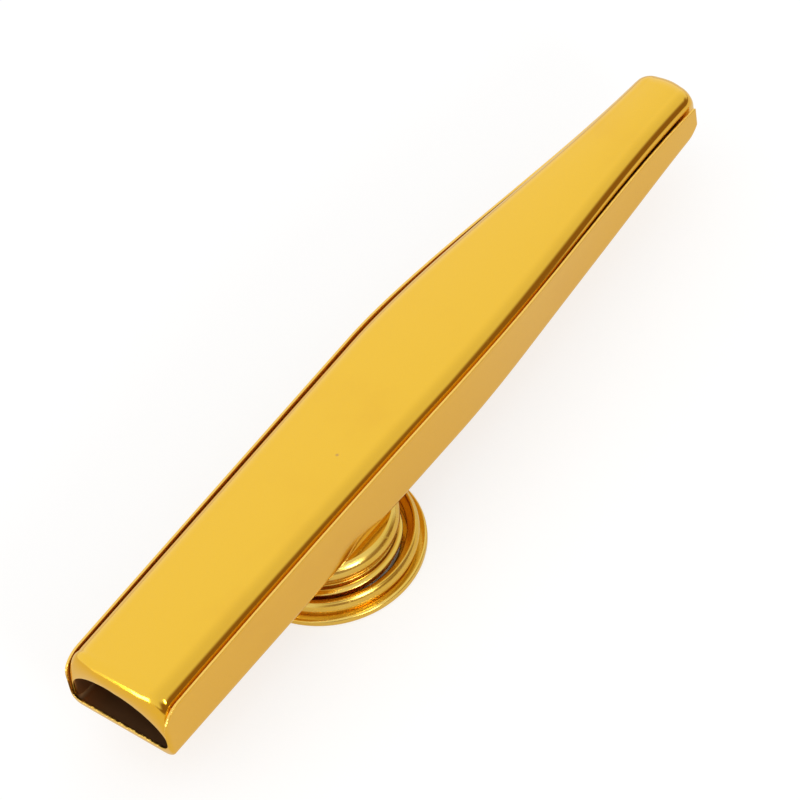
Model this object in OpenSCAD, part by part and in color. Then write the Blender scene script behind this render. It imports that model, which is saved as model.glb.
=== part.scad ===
// Metal kazoo lying on its turret: the rounded half is on top, and the turret with its
// screw cap is underneath and stands on the floor. X runs from the mouth end (low) to
// the narrow tip (high), Y is across the body, and the turret's axis is upright.
// The origin is on the floor, below the middle of the body. Millimetres.

/* [Body] */
// Overall length, from the mouth lip to the rounded tip
body_len = 123; // [100:1:150]
// Outside width at the mouth
mouth_w = 16.5; // [14:0.1:20]
// Outside width at the belly, the widest place
belly_w = 17.4; // [15:0.1:21]
// Outside width at the tip
tip_w = 10; // [8:0.1:13]
// Distance from the mouth to the belly
belly_x = 61.3; // [50:0.1:75]
// Thickness of the pressed sheet
sheet_t = 0.35; // [0.3:0.05:0.6]

/* [Channel half] */
// Height of the side walls at the mouth, measured from the plate's outer face
mouth_edge_h = 8.7; // [7:0.1:11]
// Height of the side walls at the belly
belly_edge_h = 9.65; // [8:0.1:12]
// Height of the side walls at the tip
tip_edge_h = 5; // [4:0.1:7]
// Outside radius of the bend between plate and walls
channel_bend_r = 1.2; // [0.9:0.1:2]
// Length of the lip curled up at the mouth
mouth_curl_l = 0.8; // [0.8:0.1:1.6]
// Height of the lip curled up at the mouth
mouth_curl_h = 1.8; // [1:0.1:2]
// Outside radius of the bend between plate and walls at the mouth lip
lip_bend_r = 1.8; // [1.2:0.1:2.2]
// Inward tuck of the side walls at the mouth lip
wall_tuck = 0.35; // [0.1:0.05:0.6]
// Outside radius of the plate's curl at the tip
tip_curl_r = 3; // [2:0.1:4]
// How far the channel half stops short of the rounded tip
tip_setback = 1.1; // [0:0.1:2]
// Radius of the side walls' top corners at the mouth
wall_corner_r = 3.2; // [1.2:0.1:4]
// Outward splay of the side walls behind the belly, and their inward lean before the tip
wall_splay = 0.25; // [0:0.05:0.4]

/* [Pillow half] */
// Height of the crown at the mouth, measured from the plate's outer face
mouth_crown_h = 10.6; // [9:0.1:13]
// Height of the crown at the belly
belly_crown_h = 11.1; // [10:0.1:14]
// Height of the crown at the tip, where it starts to round over
tip_crown_h = 7.6; // [6:0.1:9]
// Rise of the crown's middle above its bends
crown_arch = 0.2; // [0:0.05:0.4]
// Outside radius of the bend between crown and sides at the mouth, where it starts to round over
front_bend_r = 3; // [2:0.1:3.5]
// Outside radius of the bend between crown and sides at the belly
pillow_bend_r = 2.6; // [1.5:0.1:3]
// Outside radius of the bend between crown and sides at the tip
tip_bend_r = 2.1; // [1.2:0.1:2.5]
// Gap to the channel's walls along the front of the body
side_gap = 0.1; // [0.05:0.05:0.3]
// Extra gap that opens towards the tip
tip_gap = 0.15; // [0:0.05:0.5]
// Height of the pillow's lower edges above the plate's outer face
pillow_foot_h = 0.9; // [0.8:0.1:1.5]
// Height of the pillow's lower edges at the tip, clear of the plate's curl
tip_foot_h = 1.6; // [1.5:0.1:2]
// How far the pillow half stops short of the mouth lip
mouth_setback = 0.4; // [0.4:0.1:1]
// Length of the rounded-over end at the mouth
mouth_roll_l = 2; // [1.5:0.1:3]
// Drop of the rounded-over end at the mouth
mouth_roll_h = 2.6; // [2:0.1:2.7]
// Length of the rounded-over end at the tip
tip_roll_l = 3; // [2:0.1:4]
// Drop of the rounded-over end at the tip
tip_roll_h = 2.2; // [1.5:0.1:2.6]
// Width of each of the two bends that form the mouth lip's arch
mouth_bend_w = 6.5; // [4:0.1:7]
// Height of the two bends that form the mouth lip's arch
mouth_bend_h = 4.6; // [3:0.1:4.7]
// Tilt of the mouth lip: half the difference between its high and its low side
mouth_tilt = 0.8; // [0:0.1:0.9]
// Inward tuck of the pillow's sides at the mouth lip
mouth_side_tuck = 0.2; // [0.1:0.05:0.6]
// Rise of the pillow's lower edges along the rounded-over mouth, clear of the lip's curl
mouth_foot_rise = 0.9; // [0.7:0.1:1]
// Inward tuck of the pillow's sides at the tip
tip_side_tuck = 1.2; // [0.5:0.1:1.5]
// Bow of the rounded tip, seen from above
tip_bow = 1.2; // [0:0.1:2]
// Rise of the pillow's lower edges along the rounded-over tip
tip_foot_rise = 0.4; // [0:0.1:0.5]

/* [Turret] */
// Distance from the mouth to the turret's axis
turret_x = 41; // [30:0.1:50]
// Height of the turret, from the channel's plate to the foot of the cap
turret_h = 7.5; // [6.8:0.1:10]
// Radius of the passage from the body into the turret
passage_r = 5.5; // [4:0.1:6]
// Wall of the eyelet that holds the cup on the plate
eyelet_t = 0.5; // [0.3:0.05:0.7]
// Width of the eyelet's spun-over rim
eyelet_rim_w = 0.7; // [0.4:0.1:1]
// Height of the eyelet's spun-over rim
eyelet_rim_h = 0.4; // [0.3:0.05:0.6]
// Clearance of the eyelet in the plate's hole
eyelet_gap = 0.05; // [0.02:0.01:0.1]

/* [Turret cup] */
// Thickness of the cup's floor, which lies on the plate
cup_floor_t = 0.8; // [0.4:0.05:1]
// Outside radius of the cup's floor
cup_floor_r = 9.3; // [8.5:0.1:9.6]
// Outside radius of the wide bead below the floor
bead_r = 10.25; // [9.8:0.05:10.4]
// Height of the wide bead
bead_h = 3.3; // [2.5:0.1:3.5]
// Radius of the thread's root
thread_root_r = 9.75; // [9.6:0.05:9.9]
// Inside radius of the cup
cup_bore_r = 8.2; // [8:0.1:9]

/* [Thread] */
// Advance of the cap in one turn
pitch = 1.8; // [1.6:0.1:2]
// Height of the cup's thread ridge above its root
ridge_h = 0.7; // [0.5:0.05:0.8]
// Width of the cup's thread ridge at its root
ridge_w = 1; // [0.8:0.05:1.1]
// Radial clearance between the cup's ridge and the cap's bore
thread_gap = 0.3; // [0.2:0.05:0.4]
// Height of the cap's thread ridge
cap_ridge_h = 0.6; // [0.4:0.05:0.7]
// Width of the cap's thread ridge at its root
cap_ridge_w = 0.7; // [0.6:0.05:0.9]

/* [Membrane] */
// Thickness of the membrane film
film_t = 0.1; // [0.05:0.01:0.15]
// Thickness of the stiff ring that the film is bonded to
ring_t = 0.4; // [0.2:0.05:0.6]
// Inside radius of the stiff ring
ring_bore_r = 7.5; // [7.1:0.1:8]
// Clearance round the membrane inside the cap
membrane_gap = 0.3; // [0.15:0.05:0.5]

/* [Screw cap] */
// Outside radius of the flange
flange_r = 13.25; // [12.8:0.05:14]
// Thickness of the flange
flange_t = 1.1; // [0.9:0.1:1.5]
// Radius of the flange's rounded edge
flange_round_r = 0.35; // [0.2:0.05:0.45]
// Thickness of the cap's face
face_t = 0.55; // [0.3:0.05:0.6]
// Depth of the face behind the foot of the flange
face_recess = 0.15; // [0.1:0.05:0.3]
// Width of the flat foot under the flange
foot_w = 0.9; // [0.6:0.05:1]
// Radius of the sound hole
sound_hole_r = 6.8; // [6:0.1:7.4]
// Height of the cap's skirt above the foot
skirt_h = 3.5; // [3.2:0.1:4.5]
// Outside radius of the skirt at its fullest
skirt_r = 12.45; // [12.3:0.05:12.6]
// Outside radius of the skirt at its lip
lip_r = 12.05; // [12:0.05:12.2]
// Wall of the skirt's lip, beside the open counterbore
lip_t = 0.35; // [0.25:0.05:0.45]
// Depth of the counterbore inside the lip
counterbore_h = 0.8; // [0.6:0.1:1.3]
// Width of the groove between skirt and flange
groove_w = 0.3; // [0.2:0.05:0.4]
// Depth of the groove below the skirt's fullest radius
groove_d = 0.8; // [0.6:0.05:1]

/* [Hidden] */
gold = [0.95, 0.76, 0.26];
film_white = [0.93, 0.92, 0.86];
$fn = 64;

// Overrun of a cut past the face that it leaves
over = 1;
// How deep the root of a thread ridge lies in the wall that carries it
ridge_sink = 0.2;
// Space between a thread's ends and the edges of its wall
thread_margin = 0.1;
// Steps round a bend, round a curled end, and along each half of the body
bend_steps = 5;
curl_steps = 6;
front_steps = 6;
rear_steps = 11;
// Steps across the crown of the pillow half
crown_steps = 6;
// Steps of a thread ridge in one turn
turn_steps = 40;
// A ridge's outline, in shares of its width and of its height above its root
ridge_shares = [[-0.5, 0], [-0.3, 0.75], [-0.12, 1], [0.12, 1], [0.3, 0.75], [0.5, 0]];
// How fast a ridge rises at its ends, and the share of its height that it starts with
fade_share = 5;
end_share = 0.15;
// Steps round a turned edge
edge_steps = 6;
// Angles through which the ends of the sheets are curled
mouth_curl_a = 85;
tip_curl_a = 50;
roll_a = 98;
// How slowly the fall of the walls and the crown starts behind the belly: 0 is a straight line
fall_share = 0.11;
// Share of the way from belly to tip along which the walls keep their full splay
splay_share = 0.25;

// Places on the turret, all as heights above the floor
plate_z = turret_h;
inner_z = plate_z + sheet_t;
face_z = face_recess;
shoulder_z = face_z + face_t;
rim_z = shoulder_z + ring_t + film_t;
counterbore_z = skirt_h - counterbore_h;
thread_top_z = plate_z - bead_h;
cup_h = plate_z - rim_z;
cap_bore_r = thread_root_r + ridge_h + thread_gap;
groove_r = skirt_r - groove_d;
skirt_z = flange_t + groove_w;
foot_r = flange_r - flange_round_r;
// Height at which the cup's ridge crosses the X axis: its top end points at the tip
cross_z = thread_top_z - thread_margin - ridge_w / 2;
eyelet_r = passage_r + eyelet_t;
ring_r = cap_bore_r - cap_ridge_h - membrane_gap;

// Rises from 0 to 1 with a level start and end
function ease(t) = let (c = min(max(t, 0), 1)) c * c * (3 - 2 * c);

// Share of the way from the belly to the tip
function behind_belly(x) = (x - belly_x) / (body_len - belly_x);

// A fall from 0 to 1 along a hyperbola, level at its start
function fall(t) = let (bend = pow(fall_share, 2))
    (sqrt(t * t + bend) - fall_share) / (sqrt(1 + bend) - fall_share);

// A value at the mouth, the belly and the tip, level at the belly: a parabola in front
// of the belly and a quickening fall behind it
function along(x, mouth, belly, tip) = x < belly_x
    ? belly - (belly - mouth) * pow((belly_x - x) / belly_x, 2)
    : belly - (belly - tip) * fall(behind_belly(x));

// Half of the channel's outside width: it widens slowly to the belly, then narrows
// in an S to the tip
function half_width(x) = (x < belly_x
    ? mouth_w + (belly_w - mouth_w) * pow(x / belly_x, 2)
    : belly_w - (belly_w - tip_w) * ease(behind_belly(x))) / 2;

// How far the foot of a wall lies inside its top: it grows to the belly, stays for the
// first share of the way to the tip, and then swings to a lean and back to upright
function splay(x) = let (t = behind_belly(x))
    wall_splay * (t < 0 ? pow(x / belly_x, 2) : t < splay_share ? 1 : sin(90 * t / splay_share));

// Drop of a wall's free edge round its top corner at the mouth
function corner_drop(x) = wall_corner_r - sqrt(pow(wall_corner_r, 2) - pow(max(wall_corner_r - x, 0), 2));

function edge_h(x) = along(x, mouth_edge_h, belly_edge_h, tip_edge_h) - corner_drop(x);
function crown_h(x) = along(x, mouth_crown_h, belly_crown_h, tip_crown_h);
function foot_h(x) = along(x, pillow_foot_h, pillow_foot_h, tip_foot_h);
function bend_r(x) = along(x, front_bend_r, pillow_bend_r, tip_bend_r);
function gap_at(x) = side_gap + tip_gap * ease(behind_belly(x));
function pillow_half_width(x) = half_width(x) - sheet_t - gap_at(x);

// Stations along the straight part of a half, from the end of one curl to the next
function stations(front, back) = concat(
    [for (k = [0:front_steps - 1]) front + (belly_x - front) * k / front_steps],
    [for (k = [0:rear_steps]) belly_x + (back - belly_x) * k / rear_steps]);

// Section of the channel half: down one wall, round its bend, over the plate, up the other.
// The walls' feet lie inside their tops by the length lean
function channel_section(half, edge, bend, floor, lean) = concat(
    [[half, edge]],
    [for (k = [0:bend_steps]) let (a = 90 * k / bend_steps)
        [half - lean - bend + bend * cos(a), floor + bend - bend * sin(a)]],
    [for (k = [bend_steps:-1:0]) let (a = 90 * k / bend_steps)
        [bend - half + lean - bend * cos(a), floor + bend - bend * sin(a)]],
    [[-half, edge]]);

// Section of the pillow half: up one side, round its bend, over the arched crown, down the
// other, with the sides parallel to the walls beside them. A bend is a quarter of an ellipse,
// as wide as wide and as high as bend. The crown's middle is at the height crown, its bends
// lie lower by arch, and tilt lowers the first side and lifts the second
function pillow_section(half, crown, bend, wide, arch, tilt, foot, lean) =
    let (low = crown - arch - bend)
    concat(
        [[lean - half, foot]],
        [for (k = [0:bend_steps]) let (a = 90 * k / bend_steps, y = wide - half - wide * cos(a))
            [y, low + bend * sin(a) + tilt * y / half]],
        [for (k = [1:crown_steps - 1]) let (s = 2 * k / crown_steps - 1, y = (half - wide) * s)
            [y, crown - arch * s * s + tilt * y / half]],
        [for (k = [bend_steps:-1:0]) let (a = 90 * k / bend_steps, y = half - wide + wide * cos(a))
            [y, low + bend * sin(a) + tilt * y / half]],
        [[half - lean, foot]]);

// Side of a turned piece that swells in an arc from its end radius to its full radius and back
function swell(end_r, full_r, height) =
    let (sag = full_r - end_r, arc_r = (pow(height / 2, 2) + sag * sag) / (2 * sag),
        reach = asin(height / 2 / arc_r))
    [for (k = [0:edge_steps]) let (a = reach * (2 * k / edge_steps - 1))
        [full_r - arc_r + arc_r * cos(a), height / 2 + arc_r * sin(a)]];

// Side of a turned disc that stands on the floor, with both of its edges rounded
function rounded_edge(radius, height, round_r) = concat(
    [for (k = [0:edge_steps]) let (a = 90 * k / edge_steps)
        [radius - round_r + round_r * sin(a), round_r - round_r * cos(a)]],
    [for (k = [0:edge_steps]) let (a = 90 * k / edge_steps)
        [radius - round_r + round_r * cos(a), height - round_r + round_r * sin(a)]]);

// A flat section stood up at one station of the body, bowed back towards its sides
function stand(x, section, bow) = [for (p = section)
    [x - body_len / 2 - bow * pow(2 * p[0] / tip_w, 2), p[0], plate_z + p[1]]];

// Rows of the channel's outer skin (depth 0) or inner skin (depth sheet_t)
function channel_rows(depth) =
    let (end = body_len - tip_setback, bend = channel_bend_r - depth)
    concat(
        [for (k = [curl_steps:-1:0]) let (a = mouth_curl_a * k / curl_steps, turn = 1 - cos(a),
                x = mouth_curl_l - (mouth_curl_l - depth) * sin(a))
            stand(x, channel_section(half_width(mouth_curl_l) - depth - (wall_tuck - depth) * turn,
                edge_h(x), bend + (lip_bend_r - channel_bend_r) * turn,
                depth + (mouth_curl_h - depth) * turn, splay(x)), 0)],
        [for (x = concat((mouth_curl_l + wall_corner_r) / 2, stations(wall_corner_r, end - tip_curl_r)))
            stand(x, channel_section(half_width(x) - depth, edge_h(x), bend, depth, splay(x)), 0)],
        [for (k = [1:curl_steps])
            let (a = tip_curl_a * k / curl_steps, x = end - tip_curl_r + (tip_curl_r - depth) * sin(a))
            stand(x, channel_section(half_width(x) - depth, edge_h(x), bend,
                depth + (tip_curl_r - depth) * (1 - cos(a)), splay(x)), 0)]);

// Rows of the pillow's outer skin (depth 0) or inner skin (depth sheet_t). Along the mouth's
// roll the bends widen into one arch, and its tilt grows with the sine of the angle
function pillow_rows(depth) =
    let (front = mouth_setback + mouth_roll_l, back = body_len - tip_roll_l)
    concat(
        [for (k = [curl_steps:-1:1])
            let (a = roll_a * k / curl_steps, turn = 1 - cos(a), lean = sin(min(a, 90)), bend = bend_r(front))
            stand(front - (mouth_roll_l - depth) * sin(a),
                pillow_section(pillow_half_width(front) - depth - (mouth_side_tuck - depth) * turn,
                    crown_h(front) - depth - (mouth_roll_h - depth) * turn,
                    bend - depth + (mouth_bend_h - bend) * turn, bend - depth + (mouth_bend_w - bend) * turn,
                    crown_arch * (1 - lean), mouth_tilt * lean,
                    foot_h(front) + mouth_foot_rise * turn, splay(front)), 0)],
        [for (x = stations(front, back))
            stand(x, pillow_section(pillow_half_width(x) - depth, crown_h(x) - depth,
                bend_r(x) - depth, bend_r(x) - depth, crown_arch, 0, foot_h(x), splay(x)), 0)],
        [for (k = [1:curl_steps]) let (a = roll_a * k / curl_steps, turn = 1 - cos(a))
            stand(back + (tip_roll_l - depth) * sin(a),
                pillow_section(pillow_half_width(back) - depth - (tip_side_tuck - depth) * turn,
                    crown_h(back) - depth - (tip_roll_h - depth) * turn, bend_r(back) - depth,
                    bend_r(back) - depth, crown_arch, 0, foot_h(back) + tip_foot_rise * turn, splay(back)),
                tip_bow * turn)]);

// Two triangles over the cell of a grid of points, which starts at a point's number
function cell(first, next, step) = [
    [first, first + step, next + step],
    [first, next + step, next]];

// A sheet of metal between its outer and inner skins, both given as rows of points
module pressed_sheet(outer, inner) {
    rows = len(outer);
    cols = len(outer[0]);
    half = rows * cols;
    last = (rows - 1) * cols;
    polyhedron(
        points = concat([for (row = outer) each row], [for (row = inner) each row]),
        faces = concat(
            [for (i = [0:rows - 2], j = [0:cols - 2]) let (p = i * cols + j)
                each concat(cell(p, p + cols, 1), cell(half + p + cols, half + p, 1))],
            [for (i = [0:rows - 2]) each cell(i * cols, half + i * cols, cols)],
            [for (i = [0:rows - 2]) each cell(half + (i + 1) * cols - 1, (i + 1) * cols - 1, cols)],
            [for (j = [0:cols - 2]) each cell(half + j, j, 1)],
            [for (j = [0:cols - 2]) each cell(last + j, half + last + j, 1)]));
}

// A right-handed thread ridge round the Z axis, between the heights low and high. It stands
// out of the radius root, outwards for a positive rise and inwards for a negative one, sinks
// into the wall at both ends, and its middle line crosses the X axis at the height cross_z.
module thread_ridge(root, rise, width, low, high, cross_z) {
    turns = (high - low - width) / pitch;
    steps = ceil(turns * turn_steps);
    side = sign(rise);
    n = len(ridge_shares);
    points = [for (i = [0:steps]) let (
            t = i / steps,
            fade = end_share + (1 - end_share) * ease(fade_share * min(t, 1 - t)),
            z = low + width / 2 + t * turns * pitch,
            a = 360 * (z - cross_z) / pitch)
        each [for (k = [0:n - 1]) let (
                share = ridge_shares[side > 0 ? k : n - 1 - k],
                r = root - side * ridge_sink + (rise + side * ridge_sink) * share[1] * fade)
            [r * cos(a), r * sin(a), z + share[0] * width]]];
    skin = [for (i = [0:steps - 1], k = [0:n - 1]) let (p = i * n + k, q = i * n + (k + 1) % n)
        each [[p, q, q + n], [p, q + n, p + n]]];
    caps = [[for (k = [n - 1:-1:0]) k], [for (k = [0:n - 1]) steps * n + k]];
    polyhedron(points = points, faces = concat(skin, caps));
}

// The half that carries the turret: a pressed channel with flat side walls, curled up at
// both ends, with one round hole in its plate
module channel_half() {
    color(gold)
    difference() {
        pressed_sheet(channel_rows(0), channel_rows(sheet_t));
        translate([turret_x - body_len / 2, 0, plate_z - over])
            cylinder(r = eyelet_r + eyelet_gap, h = sheet_t + 2 * over);
    }
}

// The rounded half: a pressed shell that nests between the channel's walls and rolls
// over at both ends, down to the arched mouth and the small outlet
module pillow_half() {
    color(gold)
    pressed_sheet(pillow_rows(0), pillow_rows(sheet_t));
}

// The threaded cup under the plate, held by an eyelet spun over inside the body
module turret_cup() {
    color(gold)
    translate([turret_x - body_len / 2, 0, 0]) {
        difference() {
            union() {
                translate([0, 0, rim_z])
                    cylinder(r = thread_root_r, h = cup_h - bead_h / 2);
                wide_bead();
                translate([0, 0, plate_z - cup_floor_t])
                    cylinder(r = eyelet_r, h = cup_floor_t + sheet_t + eyelet_rim_h);
                translate([0, 0, inner_z])
                    cylinder(r = eyelet_r + eyelet_rim_w, h = eyelet_rim_h);
            }
            translate([0, 0, rim_z - over])
                cylinder(r = cup_bore_r, h = over + cup_h - cup_floor_t);
            translate([0, 0, plate_z - cup_floor_t - over])
                cylinder(r = passage_r, h = cup_floor_t + sheet_t + eyelet_rim_h + 2 * over);
        }
        thread_ridge(thread_root_r, ridge_h, ridge_w, rim_z + thread_margin, thread_top_z - thread_margin,
            cross_z);
    }
}

// The bead as a turned disc whose side swells from the floor's radius and back
module wide_bead() {
    translate([0, 0, plate_z - bead_h])
        rotate_extrude()
            polygon(concat([[0, 0]], swell(cup_floor_r, bead_r, bead_h), [[0, bead_h]]));
}

// The thin film that buzzes
module membrane_film() {
    color(film_white)
    translate([turret_x - body_len / 2, 0, rim_z - film_t])
        cylinder(r = ring_r, h = film_t);
}

// The stiff ring that keeps the film flat
module membrane_ring() {
    color(film_white)
    translate([turret_x - body_len / 2, 0, shoulder_z])
        difference() {
            cylinder(r = ring_r, h = ring_t);
            translate([0, 0, -over])
                cylinder(r = ring_bore_r, h = ring_t + 2 * over);
        }
}

// The turned cap: flange, groove, swelling skirt with an open counterbore, thread and sound hole
module screw_cap() {
    color(gold)
    translate([turret_x - body_len / 2, 0, 0]) {
        rotate_extrude()
            polygon(concat(
                [[sound_hole_r, face_z], [foot_r - foot_w, face_z], [foot_r - foot_w, 0]],
                rounded_edge(flange_r, flange_t, flange_round_r),
                [[groove_r, flange_t], [groove_r, skirt_z]],
                [for (p = swell(lip_r, skirt_r, skirt_h - skirt_z)) [p[0], skirt_z + p[1]]],
                [[lip_r - lip_t, skirt_h], [lip_r - lip_t, counterbore_z], [cap_bore_r, counterbore_z],
                    [cap_bore_r, shoulder_z], [sound_hole_r, shoulder_z]]));
        thread_ridge(cap_bore_r, -cap_ridge_h, cap_ridge_w, shoulder_z + thread_margin,
            counterbore_z - thread_margin, cross_z + pitch / 2);
    }
}

channel_half();
pillow_half();
turret_cup();
membrane_film();
membrane_ring();
screw_cap();
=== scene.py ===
import math

import bmesh
import bpy
import numpy as np
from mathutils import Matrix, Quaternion, Vector


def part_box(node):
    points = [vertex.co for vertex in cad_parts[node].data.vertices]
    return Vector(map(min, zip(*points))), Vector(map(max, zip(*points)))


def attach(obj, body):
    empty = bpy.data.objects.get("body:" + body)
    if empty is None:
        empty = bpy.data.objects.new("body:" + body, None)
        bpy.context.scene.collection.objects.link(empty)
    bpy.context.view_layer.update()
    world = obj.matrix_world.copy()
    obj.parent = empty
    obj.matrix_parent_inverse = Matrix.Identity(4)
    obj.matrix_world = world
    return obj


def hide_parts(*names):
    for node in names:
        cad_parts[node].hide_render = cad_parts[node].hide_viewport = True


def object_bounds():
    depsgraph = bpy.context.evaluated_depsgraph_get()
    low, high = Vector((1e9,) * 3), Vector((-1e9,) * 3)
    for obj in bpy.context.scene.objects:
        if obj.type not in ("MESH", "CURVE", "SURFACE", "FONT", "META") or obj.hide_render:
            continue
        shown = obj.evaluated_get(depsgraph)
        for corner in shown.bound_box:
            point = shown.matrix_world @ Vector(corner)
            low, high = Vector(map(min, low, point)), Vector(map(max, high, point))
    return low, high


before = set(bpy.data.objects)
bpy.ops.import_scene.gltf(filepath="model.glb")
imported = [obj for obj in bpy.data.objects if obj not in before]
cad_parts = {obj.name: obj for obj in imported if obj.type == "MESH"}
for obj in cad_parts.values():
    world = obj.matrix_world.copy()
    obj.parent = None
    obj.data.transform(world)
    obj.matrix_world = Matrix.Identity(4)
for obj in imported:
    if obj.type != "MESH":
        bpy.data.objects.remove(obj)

cad_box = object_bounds()

# Channel half: the flat half of the body, pressed from thin brass sheet. Its cut walls stand
# up beside the rounded half, its plate carries the turret, and the plate is curled up at
# both ends. Polished, then lacquered to a gold colour.
MM = 0.001


def in_mm(box):
    """The lowest and the highest corner of a box, in millimetres."""
    return (np.array(corner) / MM for corner in box)


channel_low, channel_high = in_mm(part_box("channel_half"))
cap_low, cap_high = in_mm(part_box("screw_cap"))
body_low, body_high = in_mm(cad_box)
mouth_at = body_low[0]
body_len = body_high[0] - body_low[0]
turret_at = (cap_low[0] + cap_high[0]) / 2
plate_z = channel_low[2]
sheet_t = 0.35
belly_w = channel_high[1] - channel_low[1]
belly_x = 61.3
mouth_w = 16.5
tip_w = 10.0
mouth_edge_h = 8.7
belly_edge_h = channel_high[2] - plate_z
tip_edge_h = 5.0
channel_bend_r = 1.2
mouth_curl_l = 0.8
mouth_curl_h = 1.8
mouth_curl_a = math.radians(85)
lip_bend_r = 1.8
wall_tuck = 0.35
wall_corner_r = 3.2
wall_splay = 0.25
splay_share = 0.25
tip_curl_r = 3.0
tip_curl_a = math.radians(50)
tip_setback = 1.1
fall_share = 0.11
cut_round = 0.06
lacquered_h = 1.6
passage_r = 5.5
eyelet_t = 0.5
eyelet_gap = 0.05
station_gap = 0.5
wall_points = 16
channel_bend_points = 12
plate_points = 20
mouth_curl_points = 28
tip_curl_points = 14
cut_steps = 4
weld_gap = 0.002


def ease(t):
    """3 t squared minus 2 t cubed, with t held between 0 and 1: a rise with level ends."""
    t = np.clip(t, 0, 1)
    return t * t * (3 - 2 * t)


def behind_belly(x):
    """Share of the way from belly to tip, below 0 in front of the belly."""
    return (x - belly_x) / (body_len - belly_x)


def along(x, mouth, belly, tip):
    """Value at distance x from the mouth. In front of the belly it is a parabola that is level
    at the belly. Behind it the fall is a hyperbola, sqrt(t^2 + c^2) - c scaled to reach 1 at
    the tip, so it starts level too."""
    t = np.maximum(behind_belly(x), 0)
    whole_fall = math.sqrt(1 + fall_share ** 2) - fall_share
    fall = (np.sqrt(t * t + fall_share ** 2) - fall_share) / whole_fall
    front = belly - (belly - mouth) * (1 - x / belly_x) ** 2
    return np.where(x < belly_x, front, belly - (belly - tip) * fall)


def half_width(x):
    """Half of the channel's width: it grows with x squared up to the belly and then eases down
    to the tip's."""
    front = mouth_w + (belly_w - mouth_w) * (x / belly_x) ** 2
    rear = belly_w - (belly_w - tip_w) * ease(behind_belly(x))
    return np.where(x < belly_x, front, rear) / 2


def splay(x):
    """How far a wall's foot lies inside its top: it grows with x squared up to the belly,
    stays, and then follows a sine through a lean the other way to upright at the tip."""
    t = behind_belly(x)
    rear = np.where(t < splay_share, 1, np.sin(math.pi / 2 * t / splay_share))
    return wall_splay * np.where(t < 0, (x / belly_x) ** 2, rear)


def channel_edge_h(x):
    """Height of the walls' cut edge above the plate's face, less the fall of a quarter circle
    at the mouth and less the rounding that sheet_grid adds to the edge."""
    inside = np.maximum(wall_corner_r - x, 0)
    corner = wall_corner_r - np.sqrt(wall_corner_r ** 2 - inside ** 2)
    return along(x, mouth_edge_h, belly_edge_h, tip_edge_h) - corner - cut_round


def mirrored(y, z):
    """Joins a half section to its mirror image across y = 0; the half ends on the middle line."""
    return np.concatenate([y, -y[:, -2::-1]], axis=1), np.concatenate([z, z[:, -2::-1]], axis=1)


def channel_section(half, edge, bend, floor, lean):
    """Section at each station: straight down the wall, a quarter circle, straight to the
    middle, and the same on the other side."""
    wall = np.linspace(0, 1, wall_points, endpoint=False)
    arc = np.linspace(0, math.pi / 2, channel_bend_points, endpoint=False)
    plate = np.linspace(0, 1, plate_points)
    y = np.concatenate([half - lean * wall, half - lean - bend * (1 - np.cos(arc)),
                        (half - lean - bend) * (1 - plate)], axis=1)
    z = np.concatenate([edge + (floor + bend - edge) * wall, floor + bend * (1 - np.sin(arc)),
                        floor + 0 * plate], axis=1)
    return mirrored(y, z)


def column(values):
    """A row of station values as a column, so that it spreads over the points of a section."""
    return np.asarray(values, float)[:, None]


def channel_skin(depth):
    """The channel's skin at a depth below its outer face: the mouth's curl turns back through
    its angle on an ellipse, the straight stretch follows the body's width and height, and the
    tip's curl rises on a circle."""
    end = body_len - tip_setback
    mouth_last_a = mouth_curl_a - cut_round / mouth_curl_h
    mouth_a = np.linspace(mouth_last_a, 0, mouth_curl_points, endpoint=False)
    straight = np.arange(mouth_curl_l, end - tip_curl_r, station_gap)
    tip_a = np.linspace(0, tip_curl_a - cut_round / tip_curl_r, tip_curl_points)
    turn = np.concatenate([1 - np.cos(mouth_a), 0 * straight, 0 * tip_a])
    x = np.concatenate([mouth_curl_l - (mouth_curl_l - depth) * np.sin(mouth_a), straight,
                        end - tip_curl_r + (tip_curl_r - depth) * np.sin(tip_a)])
    rise = np.concatenate([(mouth_curl_h - depth) * (1 - np.cos(mouth_a)), 0 * straight,
                           (tip_curl_r - depth) * (1 - np.cos(tip_a))])
    half = half_width(np.maximum(x, mouth_curl_l)) - depth - (wall_tuck - depth) * turn
    bend = channel_bend_r - depth + (lip_bend_r - channel_bend_r) * turn
    y, z = channel_section(column(half), column(channel_edge_h(x)), column(bend),
                           column(depth + rise), column(splay(x)))
    return np.stack([np.broadcast_to(column(x), y.shape) + mouth_at, y, z + plate_z], axis=2)


def unit(vectors):
    """Vectors divided by their lengths."""
    return vectors / np.linalg.norm(vectors, axis=-1, keepdims=True)


outer_number = 0.0
inner_number = -1.0
sheltered_number = -0.3
cut_number = 1.0


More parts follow.
